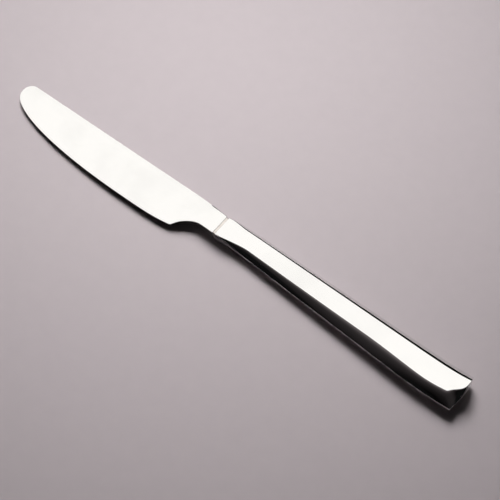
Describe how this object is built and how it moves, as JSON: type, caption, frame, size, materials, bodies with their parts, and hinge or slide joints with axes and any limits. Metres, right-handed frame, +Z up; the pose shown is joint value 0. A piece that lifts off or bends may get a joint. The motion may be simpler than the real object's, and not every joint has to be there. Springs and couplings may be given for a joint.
{
  "type": "table knife",
  "caption": "Table knife in polished steel: rounded blade with a scooped heel, slim neck collar and a flared hollow handle of welded half shells.",
  "frame": {"origin": "on the table, below the middle of the knife's box", "axes": "+X from the tip to the butt, +Y from the cutting edge to the back, +Z up from the table the knife lies on"},
  "size_m": [0.2361, 0.0204, 0.0082],
  "materials": {
    "blade_steel": "mirror polished",
    "handle_steel": "mirror polished",
    "collar_steel": "polished, turned groove",
    "seam_steel": "ground flush and polished",
    "cement": "matt, filled resin"
  },
  "bodies": {
    "root": {"blade": "blade_steel", "neck_collar": "collar_steel", "handle_shell_upper": "handle_steel", "handle_shell_lower": "handle_steel", "seam_weld": "seam_steel", "tang_cement": "cement"}
  },
  "joints": []
}
